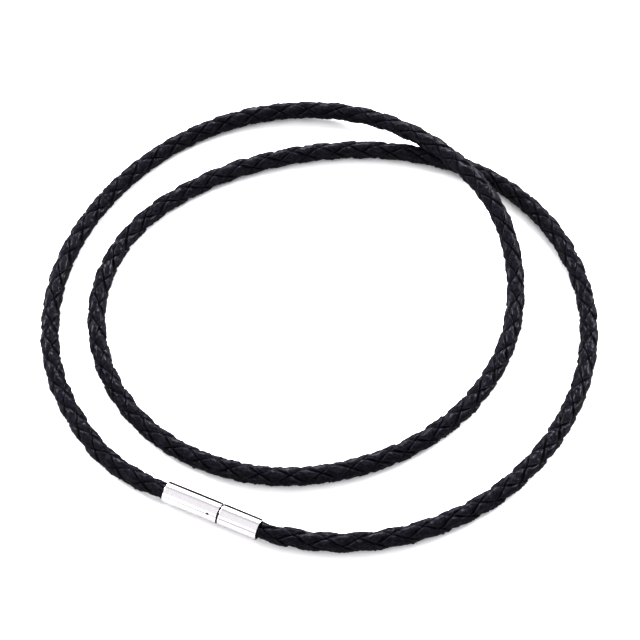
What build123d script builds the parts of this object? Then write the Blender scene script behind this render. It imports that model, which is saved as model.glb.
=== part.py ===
from build123d import *
from bisect import bisect_left
from collections import namedtuple
from math import cos, pi, radians, sin, sqrt
import os

# A cord necklace of six leather laces braided round, closed by a steel bayonet clasp,
# lying on a flat surface in two turns that cross once.
# Millimetres, Z up, with the origin on the surface under the middle of the whole loop.

# Leather laces, the same number winding each way: the share of its lane that a lace
# fills, how far it swings in and out, and how far along it goes in one turn
LACES_EACH_WAY = 3
LACE_W = 1.57
LACE_T = 0.52
LANE_SHARE = 0.75
SWING = 0.42
PITCH = 16.95
FIRST_CROWN = 1.75

# Clasp: the barrel takes one end of the cord, the cap with its stem takes the other
CLASP_D = 4
BARREL_L = 10.7
CAP_L = 7.5
SEAM_GAP = 0.25
EDGE_ROUND = 0.16
SOCKET_DEPTH = 4.5
STEM_D = 2.9
STEM_L = 4.4
STEM_GAP = 0.1
MOUTH_SPARE = 0.3
STEM_CHAMFER = 0.3

# Lock pin, flush with the barrel, and the groove it turns in
PIN_D = 0.46
PIN_FROM_SEAM = 1.7
PIN_HOLE_GAP = 0.03
PIN_TIP_GAP = 0.1
GROOVE_DEPTH = 0.5
GROOVE_GAP = 0.08
GROOVE_TURN = 75
PIN_SIDE = 50

# Cord ends, pinched and straight where they are glued into their sockets and a little
# way out of them
PINCH = 0.86
PINCH_OUT = 2
SWELL_L = 2.5
GLUE_GAP = 0.08
END_GAP = 0.3

# Place of the clasp on the surface, at the middle of its seam
CLASP_X = -17.55
CLASP_Y = -44.8
CLASP_TURN = -24.6

# Where the upper turn of the cord passes over the lower one
CROSSING_GAP = 0.3

# The cord's way on the surface from the cap twice round to the barrel, seen from above,
# and how far each point is lifted, as a share of the crossing's height
Point = namedtuple("Point", "x y lift")
ROUTE = [
    Point(2.8, -50.9, 0),
    Point(16.9, -48.9, 0),
    Point(31.7, -41.6, 0),
    Point(43.6, -28.5, 0),
    Point(50.8, -12.0, 0),
    Point(51.2, 5.9, 0),
    Point(44.4, 23.0, 0),
    Point(31.2, 34.9, 0),
    Point(14.4, 39.9, 0),
    Point(-4.0, 38.9, 0),
    Point(-22.4, 32.4, 0),
    Point(-37.5, 19.7, 0),
    Point(-43.7, 2.1, 0),
    Point(-39.9, -17.0, 0),
    Point(-28.0, -31.3, 0),
    Point(-10.0, -38.0, 0),
    Point(9.1, -35.3, 0),
    Point(25.3, -25.5, 0),
    Point(35.7, -9.7, 0),
    Point(38.4, 8.0, 0.15),
    Point(34.6, 23.9, 1),
    Point(22.6, 39.1, 1),
    Point(6.0, 50.0, 0.15),
    Point(-13.6, 49.8, 0),
    Point(-31.2, 40.8, 0),
    Point(-44.8, 24.7, 0),
    Point(-51.6, 6.3, 0),
    Point(-50.8, -13.7, 0),
    Point(-42.2, -29.7, 0),
    Point(-35.1, -36.3, 0),
]

# One corner of a lace's section: its place across the lace as a share of half its
# width, and its height as a share of half its thickness
Corner = namedtuple("Corner", "across height")
LACE_SECTION = [Corner(-1, 0), Corner(0, -1), Corner(1, 0), Corner(0, 1)]

# The sections of one wave of a lace: degrees past its crown, and its lift as a share
# of the swing
Section = namedtuple("Section", "past_crown lift")
LACE_WAVE = [Section(50, 1), Section(180, -1), Section(310, 1)]

# The braid is uneven, and twisted as it lies: at a share of the cord's length, how far
# its crowns have slipped along, in waves, and how far they have turned outwards
Lie = namedtuple("Lie", "share slip turn")
BRAID_LIE = [
    Lie(0, 0, 3),
    Lie(0.06, 0.1, -2),
    Lie(0.09, 0.12, 3),
    Lie(0.12, 0.05, 6),
    Lie(0.15, -0.08, 14),
    Lie(0.18, -0.15, 9),
    Lie(0.21, -0.15, 20),
    Lie(0.24, -0.14, 18),
    Lie(0.28, 0, 3),
    Lie(0.31, 0.05, 4),
    Lie(0.35, 0.09, -13),
    Lie(0.38, 0.09, -16),
    Lie(0.43, 0.15, -25),
    Lie(0.47, 0.13, -17),
    Lie(0.5, 0.1, -34),
    Lie(0.54, 0, -38),
    Lie(0.585, -0.38, 12),
    Lie(0.63, -0.42, 15),
    Lie(0.655, -0.41, 0),
    Lie(0.69, -0.32, -17),
    Lie(0.715, -0.33, -20),
    Lie(0.742, -0.11, -12),
    Lie(0.77, 0.04, -38),
    Lie(0.8, 0.19, -35),
    Lie(0.83, 0.25, -38),
    Lie(0.86, 0.24, -28),
    Lie(0.885, 0.36, -20),
    Lie(0.905, 0.39, -20),
    Lie(0.93, 0.24, -22),
    Lie(1, 0.1, -23),
]

# Points read on each span of the route
READINGS = 40

# Sizes that follow
LANE = LACE_W / LANE_SHARE
BRAID_R = LANE / (2 * pi / LACES_EACH_WAY * sqrt(1 - (LACES_EACH_WAY * LANE / PITCH) ** 2))
WAVE = PITCH / LACES_EACH_WAY
CORD_R = BRAID_R + SWING + LACE_T / 2
CROSSING_LIFT = 2 * CORD_R + CROSSING_GAP
SOCKET_R = CORD_R * PINCH + GLUE_GAP
CLASP_R = CLASP_D / 2
CLASP_L = BARREL_L + SEAM_GAP + CAP_L
MOUTH_R = STEM_D / 2 + STEM_GAP
MOUTH_DEPTH = STEM_L - SEAM_GAP + MOUTH_SPARE
PIN_X = BARREL_L - PIN_FROM_SEAM


def on_clasp_axis(along):
    """A point of the clasp's axis, from its distance past the barrel's cord end."""
    from_seam = along - BARREL_L - SEAM_GAP / 2
    turn = radians(CLASP_TURN)
    return (
        CLASP_X + from_seam * cos(turn),
        CLASP_Y + from_seam * sin(turn),
        CLASP_R,
    )


def route_points():
    """Control points of the cord's axis, from the cap's socket to the barrel's."""
    inside = SOCKET_DEPTH - END_GAP
    cap_end = [on_clasp_axis(CLASP_L + out) for out in (-inside, 0, PINCH_OUT)]
    barrel_end = [on_clasp_axis(-out) for out in (PINCH_OUT, 0, -inside)]
    lying = [(p.x, p.y, CORD_R + p.lift * CROSSING_LIFT) for p in ROUTE]
    return [Vector(*p) for p in cap_end + lying + barrel_end]


def read_route(points):
    """Closely spaced points of the smooth line that has these control points: a bend of
    the second degree round each inner one, from the middle of one run to the next."""
    line = []
    last = len(points) - 2
    for i in range(1, last + 1):
        start = points[0] if i == 1 else (points[i - 1] + points[i]) * 0.5
        end = points[-1] if i == last else (points[i] + points[i + 1]) * 0.5
        for k in range(READINGS + (i == last)):
            t = k / READINGS
            line.append(
                start * (1 - t) ** 2 + points[i] * (2 * t * (1 - t)) + end * t**2
            )
    return line


class CordAxis:
    """The cord's axis, read by the distance along it."""

    def __init__(self, points):
        self.line = read_route(points)
        self.at = [0.0]
        for a, b in zip(self.line, self.line[1:]):
            self.at.append(self.at[-1] + (b - a).length)
        self.length = self.at[-1]

    def frame(self, distance):
        """Centre, way up and way out of the loop at this distance."""
        k = min(max(bisect_left(self.at, distance), 1), len(self.at) - 1)
        a, b = self.line[k - 1], self.line[k]
        share = (distance - self.at[k - 1]) / (self.at[k] - self.at[k - 1])
        ahead = (b - a).normalized()
        out = Vector(ahead.Y, -ahead.X, 0).normalized()
        return a + (b - a) * share, out.cross(ahead), out


def braid_lie(share):
    """The braid's slip and turn at this share of the cord's length."""
    k = bisect_left(BRAID_LIE, share, key=lambda row: row.share)
    k = min(max(k, 1), len(BRAID_LIE) - 1)
    a, b = BRAID_LIE[k - 1], BRAID_LIE[k]
    part = (share - a.share) / (b.share - a.share)
    return a.slip + part * (b.slip - a.slip), a.turn + part * (b.turn - a.turn)


def braid_strand(axis, hand, lane):
    """One lace of the braid. Hand is 1 or -1 for the way it winds, and lane counts the
    laces of that hand round the cord. It goes over and under the laces of the other hand
    in turn, as far as both ends of the cord."""
    half_width = 90 * LANE_SHARE
    pinched = SOCKET_DEPTH - END_GAP + PINCH_OUT
    first_crown = 0 if hand > 0 else -180
    rings = []
    for i in range(-1, int(axis.length / WAVE) + 2):
        for section in LACE_WAVE:
            crossing = hand * (first_crown + 360 * i + section.past_crown)
            ring = []
            reach = []
            for corner in LACE_SECTION:
                own = half_width * corner.across
                even = FIRST_CROWN + (crossing - own) * hand * WAVE / 360
                slip, turn = braid_lie(even / axis.length)
                along = even + slip * WAVE
                turn += (own + crossing + 360 * lane) / LACES_EACH_WAY
                r = BRAID_R + SWING * section.lift + LACE_T / 2 * corner.height
                from_end = min(along, axis.length - along)
                swell = min(max((from_end - pinched) / SWELL_L, 0), 1)
                r *= PINCH + (1 - PINCH) * swell
                centre, up, out = axis.frame(along)
                side = up * cos(radians(turn)) + out * sin(radians(turn))
                ring.append(centre + side * r)
                reach.append(along)
            if min(reach) >= 0 and max(reach) <= axis.length:
                rings.append(ring)
    return faceted_solid(rings, hand)


def faceted_solid(rings, hand):
    """A solid through rings of corners, with each four-cornered patch split so that it
    swells outwards."""
    def triangle(*corners):
        return Face(Wire.make_polygon(corners))

    faces = []
    count = len(rings[0])
    for near, far in zip(rings, rings[1:]):
        for j in range(count):
            a, b = near[j], near[(j + 1) % count]
            c, d = far[(j + 1) % count], far[j]
            if hand > 0:
                faces += [triangle(a, b, c), triangle(a, c, d)]
            else:
                faces += [triangle(a, b, d), triangle(b, c, d)]
    for ring in (rings[0], rings[-1]):
        faces += [triangle(ring[0], ring[1], ring[3]), triangle(ring[1], ring[2], ring[3])]
    solid = Solid(Shell(faces))
    return solid if solid.volume > 0 else Solid(Shell(faces).reversed())


def rod(radius, start, end):
    """A round bar on the clasp's axis, between two distances from the barrel's end."""
    bar = Cylinder(radius, end - start, align=(Align.CENTER, Align.CENTER, Align.MIN))
    return Location((start, 0, 0), (0, 90, 0)) * bar


def round_ends(body, radius, size):
    """Rounds both outer rims of a rod."""
    rims = [e for e in body.edges().filter_by(GeomType.CIRCLE) if abs(e.radius - radius) < 1e-6]
    return fillet(rims, size)


def radially(along, side, shape):
    """Puts a shape that stands on the clasp's axis at this distance, leaning out of
    the upright by this many degrees towards the outside of the loop."""
    return Location((along, 0, 0), (side, 0, 0)) * shape


def clasp_barrel():
    body = round_ends(rod(CLASP_R, 0, BARREL_L), CLASP_R, EDGE_ROUND)
    body -= rod(SOCKET_R, -1, SOCKET_DEPTH)
    body -= rod(MOUTH_R, BARREL_L - MOUTH_DEPTH, BARREL_L + 1)
    hole = Cylinder(
        PIN_D / 2 + PIN_HOLE_GAP,
        CLASP_D,
        align=(Align.CENTER, Align.CENTER, Align.MIN),
    )
    return body - radially(PIN_X, PIN_SIDE, hole)


def lock_pin():
    tip = STEM_D / 2 - GROOVE_DEPTH + PIN_TIP_GAP
    pin = Cylinder(PIN_D / 2, CLASP_R - tip, align=(Align.CENTER, Align.CENTER, Align.MIN))
    return radially(PIN_X, PIN_SIDE, Pos(0, 0, tip) * pin)


def clasp_cap():
    shoulder = BARREL_L + SEAM_GAP
    tip = shoulder - STEM_L
    stem_r = STEM_D / 2
    body = round_ends(rod(CLASP_R, shoulder, CLASP_L), CLASP_R, EDGE_ROUND)
    stem = rod(stem_r, tip, shoulder)
    stem = chamfer(stem.edges().group_by(Axis.X)[0], STEM_CHAMFER)
    body += stem
    body -= rod(SOCKET_R, CLASP_L - SOCKET_DEPTH, CLASP_L + 1)
    width = PIN_D + 2 * GROOVE_GAP
    floor = stem_r - GROOVE_DEPTH
    far_side = PIN_X + width / 2
    entry = Box(
        far_side - tip + 1,
        width,
        CLASP_D,
        align=(Align.MAX, Align.CENTER, Align.MIN),
    )
    body -= radially(far_side, PIN_SIDE + GROOVE_TURN, Pos(0, 0, floor) * entry)
    slot = Plane.XZ * Pos(PIN_X, floor + CLASP_D / 2) * Rectangle(width, CLASP_D)
    turn_slot = revolve(slot, Axis.X, GROOVE_TURN)
    end_slot = Cylinder(width / 2, CLASP_D, align=(Align.CENTER, Align.CENTER, Align.MIN))
    body -= radially(0, PIN_SIDE, turn_slot)
    return body - radially(PIN_X, PIN_SIDE, Pos(0, 0, floor) * end_slot)


def on_the_surface(clasp_piece):
    """Moves a clasp piece from the clasp's own axis to its place on the surface."""
    seam = BARREL_L + SEAM_GAP / 2
    place = Location((CLASP_X, CLASP_Y, CLASP_R), (0, 0, CLASP_TURN))
    return place * Pos(-seam, 0, 0) * clasp_piece


cord_axis = CordAxis(route_points())
pieces = {
    "clasp_barrel": on_the_surface(clasp_barrel()),
    "clasp_cap": on_the_surface(clasp_cap()),
    "lock_pin": on_the_surface(lock_pin()),
}
for lane in range(LACES_EACH_WAY):
    pieces[f"braid_strand_{lane + 1}"] = braid_strand(cord_axis, 1, lane)
    pieces[f"braid_strand_{LACES_EACH_WAY + lane + 1}"] = braid_strand(cord_axis, -1, lane)

os.makedirs("parts", exist_ok=True)
for name, piece in pieces.items():
    export_step(piece, f"parts/{name}.step")
print("cord", round(cord_axis.length, 1), "mm between its ends, radius", round(CORD_R, 3))
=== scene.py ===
from collections import namedtuple
from math import cos, pi, radians, sin

import bmesh
import bpy
import numpy as np
from mathutils import Euler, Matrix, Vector


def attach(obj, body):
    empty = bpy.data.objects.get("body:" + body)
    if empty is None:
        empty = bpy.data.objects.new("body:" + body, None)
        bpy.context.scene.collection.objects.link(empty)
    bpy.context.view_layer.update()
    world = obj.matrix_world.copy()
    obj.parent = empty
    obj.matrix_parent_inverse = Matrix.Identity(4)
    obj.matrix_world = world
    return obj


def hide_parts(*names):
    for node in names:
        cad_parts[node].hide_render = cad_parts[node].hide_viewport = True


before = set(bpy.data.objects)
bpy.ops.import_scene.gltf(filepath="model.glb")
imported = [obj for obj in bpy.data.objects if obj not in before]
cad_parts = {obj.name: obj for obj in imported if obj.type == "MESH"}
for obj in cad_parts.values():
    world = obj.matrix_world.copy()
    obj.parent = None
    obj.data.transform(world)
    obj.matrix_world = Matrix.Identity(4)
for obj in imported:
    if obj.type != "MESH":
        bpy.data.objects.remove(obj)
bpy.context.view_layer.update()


# The cord's way: it leaves the clasp's cap, lies in two turns on the surface, passes once
# over itself on a long low hump, and goes back into the clasp's barrel. It is one smooth
# line, straight for a little way inside and outside its two sockets.
CLASP_SEAM = Vector((-0.01755, -0.0448, 0.002))
CLASP_TURN = radians(-24.6)
BARREL_L = 0.0107
CAP_L = 0.0075
SEAM_GAP = 0.00025
CORD_INSIDE = 0.0042
STRAIGHT_OUT = 0.002
CORD_R = 0.001756
CROSSING_GAP = 0.0003
HUMP = 2 * CORD_R + CROSSING_GAP
READINGS_IN_A_SPAN = 48

# The points that shape the line, each with the share of the hump by which it is lifted
CordPoint = namedtuple("CordPoint", "x y lift")
CORD_ROUTE = [
    CordPoint(0.0028, -0.0509, 0),
    CordPoint(0.0169, -0.0489, 0),
    CordPoint(0.0317, -0.0416, 0),
    CordPoint(0.0436, -0.0285, 0),
    CordPoint(0.0508, -0.0120, 0),
    CordPoint(0.0512, 0.0059, 0),
    CordPoint(0.0444, 0.0230, 0),
    CordPoint(0.0312, 0.0349, 0),
    CordPoint(0.0144, 0.0399, 0),
    CordPoint(-0.0040, 0.0389, 0),
    CordPoint(-0.0224, 0.0324, 0),
    CordPoint(-0.0375, 0.0197, 0),
    CordPoint(-0.0437, 0.0021, 0),
    CordPoint(-0.0399, -0.0170, 0),
    CordPoint(-0.0280, -0.0313, 0),
    CordPoint(-0.0100, -0.0380, 0),
    CordPoint(0.0091, -0.0353, 0),
    CordPoint(0.0253, -0.0255, 0),
    CordPoint(0.0357, -0.0097, 0),
    CordPoint(0.0384, 0.0080, 0.15),
    CordPoint(0.0346, 0.0239, 1),
    CordPoint(0.0226, 0.0391, 1),
    CordPoint(0.0060, 0.0500, 0.15),
    CordPoint(-0.0136, 0.0498, 0),
    CordPoint(-0.0312, 0.0408, 0),
    CordPoint(-0.0448, 0.0247, 0),
    CordPoint(-0.0516, 0.0063, 0),
    CordPoint(-0.0508, -0.0137, 0),
    CordPoint(-0.0422, -0.0297, 0),
    CordPoint(-0.0351, -0.0363, 0),
]


def on_clasp_axis(past_seam):
    """A point of the clasp's axis, from its distance past the middle of the seam."""
    return CLASP_SEAM + Vector((cos(CLASP_TURN), sin(CLASP_TURN), 0)) * past_seam


def cord_line():
    """Points read along the cord's one smooth spline."""
    cap_mouth = SEAM_GAP / 2 + CAP_L
    barrel_mouth = -SEAM_GAP / 2 - BARREL_L
    points = [on_clasp_axis(cap_mouth + out) for out in (-CORD_INSIDE, 0, STRAIGHT_OUT)]
    points += [Vector((p.x, p.y, CORD_R + p.lift * HUMP)) for p in CORD_ROUTE]
    points += [on_clasp_axis(barrel_mouth - out) for out in (STRAIGHT_OUT, 0, -CORD_INSIDE)]
    curve = bpy.data.curves.new("cord_line", "CURVE")
    curve.dimensions = "3D"
    curve.resolution_u = READINGS_IN_A_SPAN
    spline = curve.splines.new("NURBS")
    spline.points.add(len(points) - 1)
    for spline_point, place in zip(spline.points, points):
        spline_point.co = (*place, 1)
    spline.order_u = 3
    spline.use_endpoint_u = True
    holder = bpy.data.objects.new("cord_line", curve)
    read = bpy.data.meshes.new_from_object(holder)
    line = np.array([v.co for v in read.vertices])
    bpy.data.meshes.remove(read)
    bpy.data.objects.remove(holder)
    bpy.data.curves.remove(curve)
    return line


# At each point read: how far along the cord it is, and the ways ahead, out of the loop
# and up from the cord
cord = cord_line()
cord_at = np.append(0, np.cumsum(np.linalg.norm(np.diff(cord, axis=0), axis=1)))
cord_length = cord_at[-1]
cord_ahead = np.gradient(cord, cord_at, axis=0)
cord_ahead /= np.linalg.norm(cord_ahead, axis=1)[:, None]
cord_out = np.cross(cord_ahead, (0, 0, 1))
cord_out /= np.linalg.norm(cord_out, axis=1)[:, None]
cord_up = np.cross(cord_out, cord_ahead)


def on_the_cord(along, turn, radius):
    """Places round the cord: how far along it, how many degrees round from its top
    towards the outside of the loop, and how far from its middle."""
    centre, up, out = (
        np.stack([np.interp(along, cord_at, table[:, axis]) for axis in range(3)], axis=-1)
        for table in (cord, cord_up, cord_out)
    )
    side = up * np.cos(np.radians(turn))[..., None] + out * np.sin(np.radians(turn))[..., None]
    return centre + side * radius[..., None]


# The braid: six flat laces of soft black leather, cut from a hide and dyed, three winding
# each way. Each goes over one and under the next, so that its crowns show as domed leaves
# with its cut edges along two sides. No core; the ends are glued in the sockets.
LACES_EACH_WAY = 3
LACE_SHARE = 1
LACE_T = 0.00058
LACE_SWING = 0.0005
BRAID_R = CORD_R - LACE_SWING - LACE_T / 2

# In one turn round the cord a lace goes one pitch along, and in one wave over one lace
# and under the next
PITCH = 0.01695
WAVE = PITCH / LACES_EACH_WAY
FIRST_CROWN = 0.00175
CROWN_FLATNESS = 2.5
EDGE_RISE = 0.00002

# The cord is pinched to this share at its sockets, and swells again over this length. A
# lace stops this part of a wave short of the cord's ends.
PINCH = 0.86
SWELL_L = 0.0025
SHORT_OF_END = 0.05
STATIONS_IN_A_WAVE = 24
SEAM_REACH = 1e-7

# Half of a lace's section, from the middle of its domed top over the cut edge to the
# middle of its flat underside, as shares of half the width and half the thickness
LaceCorner = namedtuple("LaceCorner", "across height")
HALF_SECTION = [
    LaceCorner(0, 1),
    LaceCorner(0.28, 0.985),
    LaceCorner(0.49, 0.945),
    LaceCorner(0.66, 0.885),
    LaceCorner(0.76, 0.83),
    LaceCorner(0.82, 0.74),
    LaceCorner(0.855, 0.6),
    LaceCorner(0.875, 0.38),
    LaceCorner(0.91, 0.02),
    LaceCorner(1, -0.22),
    LaceCorner(0.98, -0.4),
    LaceCorner(0.8, -0.45),
    LaceCorner(0, -0.45),
]

# The braid is uneven, and twisted as it lies: at a share of the cord's length, how far
# its crowns have slipped along, in waves, and how many degrees they have turned outwards
BraidLie = namedtuple("BraidLie", "share slip turn")
BRAID_LIE = [
    BraidLie(0, 0, 3),
    BraidLie(0.06, 0.1, -2),
    BraidLie(0.09, 0.12, 3),
    BraidLie(0.12, 0.05, 6),
    BraidLie(0.15, -0.08, 14),
    BraidLie(0.18, -0.15, 9),
    BraidLie(0.21, -0.15, 20),
    BraidLie(0.24, -0.14, 18),
    BraidLie(0.28, 0, 3),
    BraidLie(0.31, 0.05, 4),
    BraidLie(0.35, 0.09, -13),
    BraidLie(0.38, 0.09, -16),
    BraidLie(0.43, 0.15, -25),
    BraidLie(0.47, 0.13, -17),
    BraidLie(0.5, 0.1, -34),
    BraidLie(0.54, 0, -38),
    BraidLie(0.585, -0.38, 12),
    BraidLie(0.63, -0.42, 15),
    BraidLie(0.655, -0.41, 0),
    BraidLie(0.69, -0.32, -17),
    BraidLie(0.715, -0.33, -20),
    BraidLie(0.742, -0.11, -12),
    BraidLie(0.77, 0.04, -38),
    BraidLie(0.8, 0.19, -35),
    BraidLie(0.83, 0.25, -38),
    BraidLie(0.86, 0.24, -28),
    BraidLie(0.885, 0.36, -20),
    BraidLie(0.905, 0.39, -20),
    BraidLie(0.93, 0.24, -22),
    BraidLie(1, 0.1, -23),
]

# How unevenly a lace is cut and lies, each with how much, over about what length, and a
# shift that sets it apart: its breadth as a share, its way in degrees of a wave, and the
# rise and tilt of its top
Waver = namedtuple("Waver", "size step shift")
CUT_WAVER = Waver(0.03, 0.003, 0)
RAGGED_CUT = Waver(0.015, 0.0004, 0)
SWAY = Waver(2, 0.004, 9)
RISE = Waver(0.00003, 0.0021, 4)
TILT = Waver(0.00004, 0.0033, 6)

# The three ripples that a waver is the sum of, and about how high they add up
Ripple = namedtuple("Ripple", "pace by_number start")
RIPPLES = [Ripple(1, 2.4, 0), Ripple(1.73, 5.1, 1.3), Ripple(2.91, 3.7, 4.2)]
RIPPLES_TOP = 2.2

# The leather's grain: how rough it makes the upper part of the section, and how the
# pattern runs along a wave, across a corner, and on from one lace to the next
GRAIN_DEPTH = 0.00007
GRAIN_ABOVE = 0.5
PATTERN_PER_WAVE = 6.3
PATTERN_PER_CORNER = 0.18
PATTERN_PER_LACE = 17


def uneven(along, seed, waver):
    """A slow wavering along a lace, different for each seed."""
    wave = along / waver.step
    number = seed + waver.shift
    ripples = sum(np.sin(wave * r.pace + number * r.by_number + r.start) for r in RIPPLES)
    return waver.size * (ripples / RIPPLES_TOP)


def braid_lie(share):
    """The braid's slip and turn at these shares of the cord's length."""
    shares, slips, turns = np.array(BRAID_LIE).T
    return np.interp(share, shares, slips), np.interp(share, shares, turns)


def lace_section():
    """Across and height of the corners of a lace's section, once round from the middle of
    its top, which comes first and last."""
    other_half = [LaceCorner(-corner.across, corner.height) for corner in HALF_SECTION[-2::-1]]
    return np.array(HALF_SECTION + other_half).T


def lace_lift(past_crown):
    """How high a lace runs, from the degrees past its crown: 1 on a crown, 0 where it dives
    and -1 under a crossing lace."""
    from_crown = np.abs((past_crown + 180) % 360 - 180)
    over = 1 - (from_crown / 90) ** CROWN_FLATNESS
    under = ((180 - from_crown) / 90) ** CROWN_FLATNESS - 1
    return np.where(from_crown < 90, over, under)


def flat_strip(name, stations, sides):
    """A flat mesh of this many cells along and across, and where along and across each of
    its points lies, from 0 to 1."""
    bm = bmesh.new()
    bmesh.ops.create_grid(bm, x_segments=stations, y_segments=sides, size=0.5)
    mesh = bpy.data.meshes.new(name)
    bm.to_mesh(mesh)
    bm.free()
    places = np.empty(len(mesh.vertices) * 3)
    mesh.vertices.foreach_get("co", places)
    places = places.reshape(-1, 3) + 0.5
    return mesh, places[:, 0], places[:, 1]


def close_lace(mesh):
    """Joins the rolled strip's long edges, caps its ends and turns its faces outwards."""
    bm = bmesh.new()
    bm.from_mesh(mesh)
    bmesh.ops.remove_doubles(bm, verts=bm.verts, dist=SEAM_REACH)
    bmesh.ops.holes_fill(bm, edges=[e for e in bm.edges if e.is_boundary], sides=0)
    bmesh.ops.recalc_face_normals(bm, faces=bm.faces)
    for face in bm.faces:
        face.smooth = len(face.verts) == 4
    bm.to_mesh(mesh)
    bm.free()


def lace_mesh(name, hand, lane, seed):
    """One lace, swept along its winding way: a strip rolled into a flat tube. Hand is 1 or
    -1 for the way it winds, and lane counts the laces of that hand round the cord. Places
    along and across it are counted in degrees of a wave, with 90 to the edge of its lane."""
    half_width = 90 * LACE_SHARE
    first_crown = 0 if hand > 0 else -180
    waves_in_cord = (cord_length - FIRST_CROWN) / WAVE
    first_wave = half_width / 360 - first_crown / 360 + SHORT_OF_END
    last_wave = waves_in_cord - half_width / 360 - first_crown / 360 - SHORT_OF_END
    stations = int((last_wave - first_wave) * STATIONS_IN_A_WAVE)
    section_across, section_height = lace_section()
    sides = len(section_across) - 1
    mesh, share_along, share_round = flat_strip(name, stations, sides)

    waves = first_wave + share_along * (last_wave - first_wave)
    corner_at = share_round * sides
    across = np.interp(corner_at, range(sides + 1), section_across)
    height = np.interp(corner_at, range(sides + 1), section_height)
    past_crown = 360 * waves
    lift = lace_lift(past_crown)

    crossing = hand * (first_crown + past_crown)
    rough_along = FIRST_CROWN + (first_crown + past_crown) * WAVE / 360
    breadth = 1 + uneven(rough_along, seed, CUT_WAVER) + uneven(rough_along, seed, RAGGED_CUT)
    own = half_width * across * breadth + uneven(rough_along, seed, SWAY)
    even = FIRST_CROWN + (crossing - own) * hand * WAVE / 360
    slip, twist = braid_lie(even / cord_length)
    along = even + slip * WAVE
    turn = twist + (own + crossing + 360 * lane) / LACES_EACH_WAY

    radius = BRAID_R + LACE_SWING * lift + LACE_T / 2 * height
    radius += EDGE_RISE * across**2
    radius += uneven(rough_along, seed, RISE)
    radius += across * uneven(rough_along, seed, TILT)
    station = np.rint(share_along * stations).astype(int)
    corner = np.rint(corner_at).astype(int) % sides
    grain = np.random.default_rng(seed).normal(size=(stations + 1, sides))
    radius += GRAIN_DEPTH * grain[station, corner] * (height > GRAIN_ABOVE)
    from_end = np.minimum(along, cord_length - along)
    swell = np.clip((from_end - CORD_INSIDE - STRAIGHT_OUT) / SWELL_L, 0, 1)
    radius *= PINCH + (1 - PINCH) * swell
    mesh.vertices.foreach_set("co", on_the_cord(along, turn, radius).ravel())

    for attribute, values in (("across", across), ("lift", lift)):
        mesh.attributes.new(attribute, "FLOAT", "POINT").data.foreach_set("value", values)
    uv = mesh.uv_layers.new(name="lace")
    loop_vertex = np.empty(len(mesh.loops), dtype=int)
    mesh.loops.foreach_get("vertex_index", loop_vertex)
    pattern_along = waves * PATTERN_PER_WAVE + seed * PATTERN_PER_LACE
    pattern = np.stack([pattern_along, corner_at * PATTERN_PER_CORNER], axis=-1)
    uv.data.foreach_set("uv", pattern[loop_vertex].ravel())
    close_lace(mesh)
    return mesh


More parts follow.
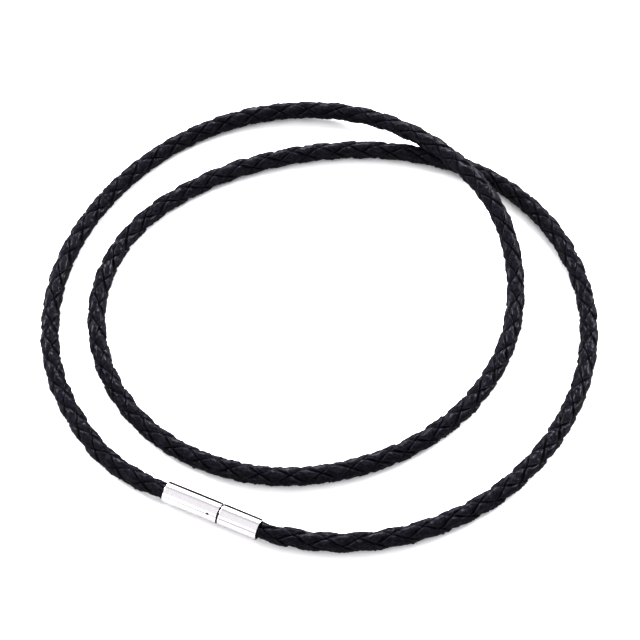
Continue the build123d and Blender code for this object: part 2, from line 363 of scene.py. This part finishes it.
def black_leather():
    """Dyed black leather: a faint violet cast, fine grain, paler raw cut edges with a painted
    highlight at their top corners, and painted shade where a lace dives under the next.
    """
    material = bpy.data.materials.new("black_leather")
    material.use_nodes = True
    nodes = material.node_tree.nodes
    links = material.node_tree.links
    shader = nodes["Principled BSDF"]
    shader.inputs["Specular IOR Level"].default_value = 0.05
    shader.inputs["Coat Weight"].default_value = 0.16
    shader.inputs["Coat Roughness"].default_value = 0.26
    shader.inputs["Specular Tint"].default_value = (0.88, 0.84, 1, 1)

    place = nodes.new("ShaderNodeUVMap")
    place.uv_map = "lace"

    # The dye is darkest in the pits of the grain
    grain = nodes.new("ShaderNodeTexNoise")
    grain.inputs["Scale"].default_value = 2.2
    grain.inputs["Detail"].default_value = 7
    grain.inputs["Roughness"].default_value = 0.75
    links.new(place.outputs["UV"], grain.inputs["Vector"])
    tint = nodes.new("ShaderNodeValToRGB")
    tint.color_ramp.elements[0].position = 0.47
    tint.color_ramp.elements[0].color = (0.0004, 0.0004, 0.0009, 1)
    tint.color_ramp.elements[1].position = 0.6
    tint.color_ramp.elements[1].color = (0.017, 0.0152, 0.029, 1)
    links.new(grain.outputs["Fac"], tint.inputs["Fac"])

    # The raw cut edges are paler, in a narrow line on both sides of the top. The line is a
    # painted highlight, brightest at the top corner of each edge, and fades back to the dye's
    # colour down the cut face as painted shade.
    across = nodes.new("ShaderNodeAttribute")
    across.attribute_name = "across"
    edge = nodes.new("ShaderNodeMath")
    edge.operation = "ABSOLUTE"
    links.new(across.outputs["Fac"], edge.inputs[0])
    pale_edge_and_highlight = nodes.new("ShaderNodeValToRGB")
    pale_edge_and_highlight.color_ramp.elements[0].position = 0.72
    pale_edge_and_highlight.color_ramp.elements[0].color = (0, 0, 0, 1)
    pale_edge_and_highlight.color_ramp.elements[1].position = 0.81
    pale_edge_and_highlight.color_ramp.elements[1].color = (1, 1, 1, 1)
    # Painted shade: past this stop the lower cut face goes back to the dye's colour.
    shaded = pale_edge_and_highlight.color_ramp.elements.new(0.9)
    shaded.color = (0, 0, 0, 1)
    links.new(edge.outputs["Value"], pale_edge_and_highlight.inputs["Fac"])
    edged_and_highlit = nodes.new("ShaderNodeMix")
    edged_and_highlit.data_type = "RGBA"
    edged_and_highlit.inputs["B"].default_value = (0.03, 0.028, 0.038, 1)
    links.new(pale_edge_and_highlight.outputs["Color"], edged_and_highlit.inputs["Factor"])
    links.new(tint.outputs["Color"], edged_and_highlit.inputs["A"])

    # Painted shade: a lace is painted all but black where it dives under the next, in the
    # crease between laces.
    lift = nodes.new("ShaderNodeAttribute")
    lift.attribute_name = "lift"
    dive_shade = nodes.new("ShaderNodeMapRange")
    dive_shade.inputs["From Min"].default_value = 0.25
    dive_shade.inputs["From Max"].default_value = -0.15
    links.new(lift.outputs["Fac"], dive_shade.inputs["Value"])
    painted_dive_shade = nodes.new("ShaderNodeMix")
    painted_dive_shade.data_type = "RGBA"
    painted_dive_shade.inputs["B"].default_value = (0.0004, 0.0004, 0.0007, 1)
    links.new(dive_shade.outputs["Result"], painted_dive_shade.inputs["Factor"])
    links.new(edged_and_highlit.outputs["Result"], painted_dive_shade.inputs["A"])
    links.new(painted_dive_shade.outputs["Result"], shader.inputs["Base Color"])

    # The pits shine more, and the high grain is duller
    shine = nodes.new("ShaderNodeMapRange")
    shine.inputs["From Min"].default_value = 0.3
    shine.inputs["From Max"].default_value = 0.7
    shine.inputs["To Min"].default_value = 0.35
    shine.inputs["To Max"].default_value = 0.65
    links.new(grain.outputs["Fac"], shine.inputs["Value"])
    links.new(shine.outputs["Result"], shader.inputs["Roughness"])

    # Fine pores, and the deeper creases of the grain over them
    fine = nodes.new("ShaderNodeTexNoise")
    fine.inputs["Scale"].default_value = 5
    fine.inputs["Detail"].default_value = 5
    links.new(place.outputs["UV"], fine.inputs["Vector"])
    bump = nodes.new("ShaderNodeBump")
    bump.inputs["Strength"].default_value = 0.7
    bump.inputs["Distance"].default_value = 0.00015
    links.new(fine.outputs["Fac"], bump.inputs["Height"])
    creased = nodes.new("ShaderNodeBump")
    creased.inputs["Strength"].default_value = 1
    creased.inputs["Distance"].default_value = 0.0005
    links.new(grain.outputs["Fac"], creased.inputs["Height"])
    links.new(bump.outputs["Normal"], creased.inputs["Normal"])
    links.new(creased.outputs["Normal"], shader.inputs["Normal"])
    return material


leather = black_leather()
for hand in (1, -1):
    for lane in range(LACES_EACH_WAY):
        number = lane + 1 if hand > 0 else LACES_EACH_WAY + lane + 1
        lace = bpy.data.objects.new(
            f"lace_{number}", lace_mesh(f"lace_{number}", hand, lane, number)
        )
        bpy.context.collection.objects.link(lace)
        lace.data.materials.append(leather)
        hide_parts(f"braid_strand_{number}")
        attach(lace, "root")


# The clasp's two halves and its lock pin: turned and polished stainless steel, the barrel a
# little duller than the cap. The pin is pressed into the barrel's wall and ground flush, and
# its end is painted near black as painted shade, so that it shows as a dark dot like a pit in
# the wall.
SteelFinish = namedtuple("SteelFinish", "node material colour roughness dull_roughness")
STEEL_FINISHES = [
    SteelFinish("clasp_barrel", "barrel_steel", (0.52, 0.51, 0.52), 0.08, 0.12),
    SteelFinish("clasp_cap", "cap_steel", (0.52, 0.51, 0.52), 0.05, 0.08),
    # The pin's near-black colour is painted shade.
    SteelFinish("lock_pin", "pin_painted_shade", (0.06, 0.052, 0.048), 0.35, 0.45),
]
LINE_DARKENING = 0.93
# Within these radii of the clasp's axis the bores and end faces get painted shade.
UNSHADED_FROM_R = 0.00188
PAINTED_SHADE_WITHIN_R = 0.0018


def turned_surface_with_bore_shade():
    """A node group for a turned and polished surface: faint turning lines, duller patches, and
    painted shade inside the bores and on the end faces next to them."""
    group = bpy.data.node_groups.new("turned_surface_with_bore_shade", "ShaderNodeTree")
    for socket_name, way, kind in (
        ("Color", "INPUT", "NodeSocketColor"),
        ("Roughness", "INPUT", "NodeSocketFloat"),
        ("Dull Roughness", "INPUT", "NodeSocketFloat"),
        ("Color", "OUTPUT", "NodeSocketColor"),
        ("Roughness", "OUTPUT", "NodeSocketFloat"),
        ("Normal", "OUTPUT", "NodeSocketVector"),
    ):
        group.interface.new_socket(socket_name, in_out=way, socket_type=kind)
    nodes = group.nodes
    links = group.links
    given = nodes.new("NodeGroupInput")
    result = nodes.new("NodeGroupOutput")

    # Coordinates from the middle of the seam, with X along the clasp's axis
    place = nodes.new("ShaderNodeTexCoord")
    along = nodes.new("ShaderNodeMapping")
    along.vector_type = "TEXTURE"
    along.inputs["Location"].default_value = CLASP_SEAM
    along.inputs["Rotation"].default_value = (0, 0, CLASP_TURN)
    links.new(place.outputs["Object"], along.inputs["Vector"])

    # Turning lines are close together along the axis and long round it
    stretch = nodes.new("ShaderNodeMapping")
    stretch.inputs["Scale"].default_value = (9000, 300, 300)
    links.new(along.outputs["Vector"], stretch.inputs["Vector"])
    lines = nodes.new("ShaderNodeTexNoise")
    lines.inputs["Scale"].default_value = 1
    lines.inputs["Detail"].default_value = 3
    links.new(stretch.outputs["Vector"], lines.inputs["Vector"])
    brightness = nodes.new("ShaderNodeMapRange")
    brightness.inputs["From Min"].default_value = 0.25
    brightness.inputs["From Max"].default_value = 0.75
    brightness.inputs["To Min"].default_value = LINE_DARKENING
    brightness.inputs["To Max"].default_value = 1
    links.new(lines.outputs["Fac"], brightness.inputs["Value"])
    tone = nodes.new("ShaderNodeVectorMath")
    tone.operation = "SCALE"
    links.new(given.outputs["Color"], tone.inputs["Vector"])
    links.new(brightness.outputs["Result"], tone.inputs["Scale"])
    bump = nodes.new("ShaderNodeBump")
    bump.inputs["Strength"].default_value = 0.04
    bump.inputs["Distance"].default_value = 0.00001
    links.new(lines.outputs["Fac"], bump.inputs["Height"])
    links.new(bump.outputs["Normal"], result.inputs["Normal"])

    # Handling has left it duller in patches
    cloud = nodes.new("ShaderNodeTexNoise")
    cloud.inputs["Scale"].default_value = 600
    cloud.inputs["Detail"].default_value = 4
    links.new(along.outputs["Vector"], cloud.inputs["Vector"])
    dull = nodes.new("ShaderNodeMapRange")
    dull.inputs["From Min"].default_value = 0.3
    dull.inputs["From Max"].default_value = 0.7
    links.new(cloud.outputs["Fac"], dull.inputs["Value"])
    links.new(given.outputs["Roughness"], dull.inputs["To Min"])
    links.new(given.outputs["Dull Roughness"], dull.inputs["To Max"])
    links.new(dull.outputs["Result"], result.inputs["Roughness"])

    # Painted shade: the bores, and the end faces next to them, are painted dark
    across = nodes.new("ShaderNodeVectorMath")
    across.operation = "MULTIPLY"
    across.inputs[1].default_value = (0, 1, 1)
    links.new(along.outputs["Vector"], across.inputs[0])
    off_axis = nodes.new("ShaderNodeVectorMath")
    off_axis.operation = "LENGTH"
    links.new(across.outputs["Vector"], off_axis.inputs[0])
    bore_shade = nodes.new("ShaderNodeMapRange")
    bore_shade.inputs["From Min"].default_value = UNSHADED_FROM_R
    bore_shade.inputs["From Max"].default_value = PAINTED_SHADE_WITHIN_R
    links.new(off_axis.outputs["Value"], bore_shade.inputs["Value"])
    shaded = nodes.new("ShaderNodeMix")
    shaded.data_type = "RGBA"
    shaded.inputs["B"].default_value = (0.02, 0.019, 0.018, 1)
    links.new(bore_shade.outputs["Result"], shaded.inputs["Factor"])
    links.new(tone.outputs["Vector"], shaded.inputs["A"])
    links.new(shaded.outputs["Result"], result.inputs["Color"])
    return group


def polished_steel(finish, surface):
    """Polished steel in one of its finishes."""
    material = bpy.data.materials.new(finish.material)
    material.use_nodes = True
    shader = material.node_tree.nodes["Principled BSDF"]
    shader.inputs["Metallic"].default_value = 1
    turned = material.node_tree.nodes.new("ShaderNodeGroup")
    turned.node_tree = surface
    turned.inputs["Color"].default_value = (*finish.colour, 1)
    turned.inputs["Roughness"].default_value = finish.roughness
    turned.inputs["Dull Roughness"].default_value = finish.dull_roughness
    links = material.node_tree.links
    links.new(turned.outputs["Color"], shader.inputs["Base Color"])
    links.new(turned.outputs["Roughness"], shader.inputs["Roughness"])
    links.new(turned.outputs["Normal"], shader.inputs["Normal"])
    return material


surface = turned_surface_with_bore_shade()
for finish in STEEL_FINISHES:
    steel = polished_steel(finish, surface)
    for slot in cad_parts[finish.node].material_slots:
        slot.material = steel


# The surface that it lies on: a plain matt white table top, which reaches past the picture
# on all sides.
TABLE_HALF = 1.5

floor_mesh = bpy.data.meshes.new("floor")
bm = bmesh.new()
bmesh.ops.create_grid(bm, x_segments=1, y_segments=1, size=TABLE_HALF)
bm.to_mesh(floor_mesh)
bm.free()
floor = bpy.data.objects.new("floor", floor_mesh)
bpy.context.collection.objects.link(floor)
white = bpy.data.materials.new("white_table")
white.use_nodes = True
white_shader = white.node_tree.nodes["Principled BSDF"]
white_shader.inputs["Base Color"].default_value = (0.8, 0.8, 0.8, 1)
white_shader.inputs["Roughness"].default_value = 0.8
white_shader.inputs["Specular IOR Level"].default_value = 0.1
floor_mesh.materials.append(white)


# Soft studio light, mostly from behind, in a pale room that darkens low at the back: a wide
# wall of light and a small bright box at the back, a small bright one to each side of it, a
# dimmer one on the left, and a broad dim ceiling in front.
world = bpy.data.worlds.new("pale_room")
bpy.context.scene.world = world
world.use_nodes = True
room = world.node_tree.nodes
room_links = world.node_tree.links
room["Background"].inputs["Color"].default_value = (0.99, 0.985, 1, 1)
way = room.new("ShaderNodeTexCoord")
bright = room.new("ShaderNodeVectorMath")
bright.operation = "DOT_PRODUCT"
bright.inputs[1].default_value = (0, -0.5, 0.87)
room_links.new(way.outputs["Generated"], bright.inputs[0])
walls = room.new("ShaderNodeMapRange")
walls.inputs["From Min"].default_value = -0.1
walls.inputs["From Max"].default_value = 0.35
walls.inputs["To Min"].default_value = 0.35
walls.inputs["To Max"].default_value = 1.45
room_links.new(bright.outputs["Value"], walls.inputs["Value"])
room_links.new(walls.outputs["Result"], room["Background"].inputs["Strength"])

# Each lamp hangs one metre from the middle and faces it. Its azimuth counts degrees from
# the back towards the right, and its elevation degrees above the table.
Softbox = namedtuple("Softbox", "name azimuth elevation width height radiance")
SOFTBOXES = [
    Softbox("back_wall", 0, 31, 1.6, 0.75, 3.5),
    Softbox("back_key", 0, 38, 0.4, 0.3, 45),
    Softbox("back_left", -60, 26, 0.3, 0.3, 50),
    Softbox("back_right", 60, 26, 0.3, 0.3, 50),
    Softbox("left", -125, 25, 0.5, 0.4, 5),
    Softbox("ceiling", 180, 62, 2.6, 1.93, 0.4),
]
for box in SOFTBOXES:
    light = bpy.data.lights.new(box.name, "AREA")
    light.shape = "RECTANGLE"
    light.size = box.width
    light.size_y = box.height
    light.energy = box.radiance * pi * box.width * box.height
    light.color = (1, 0.985, 1)
    lamp = bpy.data.objects.new(box.name, light)
    away, up = radians(box.azimuth), radians(box.elevation)
    lamp.location = (sin(away) * cos(up), cos(away) * cos(up), sin(up))
    lamp.rotation_euler = (-lamp.location).to_track_quat("-Z", "Y").to_euler()
    bpy.context.collection.objects.link(lamp)


# The camera looks down on the clasp's side at the photograph's angle, through a long lens.
# The view's gamma deepens the blacks, as in the photograph.
CAMERA_TILT = radians(35)

camera = bpy.data.cameras.new("camera")
camera.lens = 102.375
camera.sensor_width = 36
camera.clip_start = 0.01
viewer = bpy.data.objects.new("camera", camera)
viewer.location = (0, -0.2012, 0.2851)
viewer.rotation_euler = Euler((CAMERA_TILT, 0, 0))
bpy.context.collection.objects.link(viewer)
bpy.context.scene.camera = viewer
bpy.context.scene.view_settings.view_transform = "Standard"
bpy.context.scene.view_settings.gamma = 0.7
